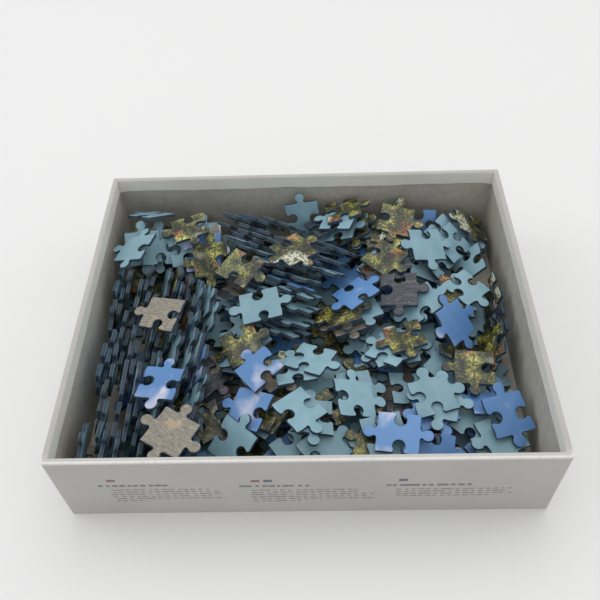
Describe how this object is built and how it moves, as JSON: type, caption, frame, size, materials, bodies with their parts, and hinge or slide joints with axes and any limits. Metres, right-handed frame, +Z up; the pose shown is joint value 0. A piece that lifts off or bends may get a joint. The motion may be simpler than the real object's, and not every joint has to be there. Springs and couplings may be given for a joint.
{
  "type": "boxed jigsaw puzzle",
  "caption": "Open box tray of a jigsaw puzzle holding its heap of loose interlocking pieces; the heap and its uppermost pieces lift out.",
  "frame": {"origin": "middle of the underside of the tray", "axes": "+X to the right along the front wall, +Y to the back wall, +Z up out of the tray"},
  "size_m": [0.252, 0.207, 0.057],
  "materials": {
    "greyboard": "uncoated grey-brown board",
    "wrap_paper": "matt light grey paper",
    "stay_tape": "kraft paper tape",
    "jigsaw_heap": "matt blue-grey backs and printed faces with dark cut edges",
    "jigsaw_back": "matt blue-grey paper back",
    "jigsaw_sky": "satin print of blue sky",
    "jigsaw_cloud": "satin print of pale cloud",
    "jigsaw_foliage": "satin print of leaves",
    "jigsaw_blossom": "satin print of light blossom",
    "jigsaw_stone": "satin print of stone and dry grass",
    "jigsaw_night_water": "satin print of dark water"
  },
  "bodies": {
    "tray": {"corner_stay_back_left": "stay_tape", "corner_stay_back_right": "stay_tape", "corner_stay_front_left": "stay_tape", "corner_stay_front_right": "stay_tape", "tray_board": "greyboard", "wrap_back": "wrap_paper", "wrap_base": "wrap_paper", "wrap_front": "wrap_paper", "wrap_left": "wrap_paper", "wrap_right": "wrap_paper"},
    "heap": {"back_file_left": "jigsaw_heap", "back_file_middle": "jigsaw_heap", "back_file_right": "jigsaw_heap", "back_left_fan_left": "jigsaw_heap", "back_left_fan_right": "jigsaw_heap", "back_wall_leaners": "jigsaw_heap", "bed_left": "jigsaw_heap", "bed_middle": "jigsaw_heap", "bed_right": "jigsaw_heap", "left_file_back": "jigsaw_heap", "left_file_front": "jigsaw_heap", "left_file_middle": "jigsaw_heap", "loose_back_middle": "jigsaw_heap", "loose_back_right": "jigsaw_heap", "loose_front_left": "jigsaw_heap", "loose_front_middle": "jigsaw_heap", "loose_front_right": "jigsaw_heap", "right_wall_leaners": "jigsaw_heap"},
    "top_piece_01": {"top_piece_01": "jigsaw_stone"},
    "top_piece_02": {"top_piece_02": "jigsaw_foliage"},
    "top_piece_03": {"top_piece_03": "jigsaw_foliage"},
    "top_piece_04": {"top_piece_04": "jigsaw_foliage"},
    "top_piece_05": {"top_piece_05": "jigsaw_blossom"},
    "top_piece_06": {"top_piece_06": "jigsaw_back"},
    "top_piece_07": {"top_piece_07": "jigsaw_sky"},
    "top_piece_08": {"top_piece_08": "jigsaw_night_water"},
    "top_piece_09": {"top_piece_09": "jigsaw_foliage"},
    "top_piece_10": {"top_piece_10": "jigsaw_sky"},
    "top_piece_11": {"top_piece_11": "jigsaw_foliage"},
    "top_piece_12": {"top_piece_12": "jigsaw_sky"},
    "top_piece_13": {"top_piece_13": "jigsaw_back"},
    "top_piece_14": {"top_piece_14": "jigsaw_cloud"},
    "top_piece_15": {"top_piece_15": "jigsaw_back"},
    "top_piece_16": {"top_piece_16": "jigsaw_back"},
    "top_piece_17": {"top_piece_17": "jigsaw_back"},
    "top_piece_18": {"top_piece_18": "jigsaw_cloud"},
    "top_piece_19": {"top_piece_19": "jigsaw_back"},
    "top_piece_20": {"top_piece_20": "jigsaw_stone"},
    "top_piece_21": {"top_piece_21": "jigsaw_cloud"},
    "top_piece_22": {"top_piece_22": "jigsaw_back"},
    "top_piece_23": {"top_piece_23": "jigsaw_back"},
    "top_piece_24": {"top_piece_24": "jigsaw_back"},
    "top_piece_25": {"top_piece_25": "jigsaw_foliage"},
    "top_piece_26": {"top_piece_26": "jigsaw_back"}
  },
  "joints": [
    {"name": "heap_lift", "type": "slide", "parent": "tray", "child": "heap", "axis": [0, 0, 1], "range_m": [0, 0.065]},
    {"name": "top_piece_01_lift", "type": "slide", "parent": "heap", "child": "top_piece_01", "axis": [0, 0, 1], "range_m": [0, 0.04]},
    {"name": "top_piece_02_lift", "type": "slide", "parent": "heap", "child": "top_piece_02", "axis": [0, 0, 1], "range_m": [0, 0.04]},
    {"name": "top_piece_03_lift", "type": "slide", "parent": "heap", "child": "top_piece_03", "axis": [0, 0, 1], "range_m": [0, 0.04]},
    {"name": "top_piece_04_lift", "type": "slide", "parent": "heap", "child": "top_piece_04", "axis": [0, 0, 1], "range_m": [0, 0.04]},
    {"name": "top_piece_05_lift", "type": "slide", "parent": "heap", "child": "top_piece_05", "axis": [0, 0, 1], "range_m": [0, 0.04]},
    {"name": "top_piece_06_lift", "type": "slide", "parent": "heap", "child": "top_piece_06", "axis": [0, 0, 1], "range_m": [0, 0.04]},
    {"name": "top_piece_07_lift", "type": "slide", "parent": "heap", "child": "top_piece_07", "axis": [0, 0, 1], "range_m": [0, 0.04]},
    {"name": "top_piece_08_lift", "type": "slide", "parent": "heap", "child": "top_piece_08", "axis": [0, 0, 1], "range_m": [0, 0.04]},
    {"name": "top_piece_09_lift", "type": "slide", "parent": "heap", "child": "top_piece_09", "axis": [0, 0, 1], "range_m": [0, 0.04]},
    {"name": "top_piece_10_lift", "type": "slide", "parent": "heap", "child": "top_piece_10", "axis": [0, 0, 1], "range_m": [0, 0.04]},
    {"name": "top_piece_11_lift", "type": "slide", "parent": "heap", "child": "top_piece_11", "axis": [0, 0, 1], "range_m": [0, 0.04]},
    {"name": "top_piece_12_lift", "type": "slide", "parent": "heap", "child": "top_piece_12", "axis": [0, 0, 1], "range_m": [0, 0.04]},
    {"name": "top_piece_13_lift", "type": "slide", "parent": "heap", "child": "top_piece_13", "axis": [0, 0, 1], "range_m": [0, 0.04]},
    {"name": "top_piece_14_lift", "type": "slide", "parent": "heap", "child": "top_piece_14", "axis": [0, 0, 1], "range_m": [0, 0.04]},
    {"name": "top_piece_15_lift", "type": "slide", "parent": "heap", "child": "top_piece_15", "axis": [0, 0, 1], "range_m": [0, 0.04]},
    {"name": "top_piece_16_lift", "type": "slide", "parent": "heap", "child": "top_piece_16", "axis": [0, 0, 1], "range_m": [0, 0.04]},
    {"name": "top_piece_17_lift", "type": "slide", "parent": "heap", "child": "top_piece_17", "axis": [0, 0, 1], "range_m": [0, 0.04]},
    {"name": "top_piece_18_lift", "type": "slide", "parent": "heap", "child": "top_piece_18", "axis": [0, 0, 1], "range_m": [0, 0.04]},
    {"name": "top_piece_19_lift", "type": "slide", "parent": "heap", "child": "top_piece_19", "axis": [0, 0, 1], "range_m": [0, 0.04]},
    {"name": "top_piece_20_lift", "type": "slide", "parent": "heap", "child": "top_piece_20", "axis": [0, 0, 1], "range_m": [0, 0.04]},
    {"name": "top_piece_21_lift", "type": "slide", "parent": "heap", "child": "top_piece_21", "axis": [0, 0, 1], "range_m": [0, 0.04]},
    {"name": "top_piece_22_lift", "type": "slide", "parent": "heap", "child": "top_piece_22", "axis": [0, 0, 1], "range_m": [0, 0.04]},
    {"name": "top_piece_23_lift", "type": "slide", "parent": "heap", "child": "top_piece_23", "axis": [0, 0, 1], "range_m": [0, 0.04]},
    {"name": "top_piece_24_lift", "type": "slide", "parent": "heap", "child": "top_piece_24", "axis": [0, 0, 1], "range_m": [0, 0.04]},
    {"name": "top_piece_25_lift", "type": "slide", "parent": "heap", "child": "top_piece_25", "axis": [0, 0, 1], "range_m": [0, 0.04]},
    {"name": "top_piece_26_lift", "type": "slide", "parent": "heap", "child": "top_piece_26", "axis": [0, 0, 1], "range_m": [0, 0.04]}
  ]
}
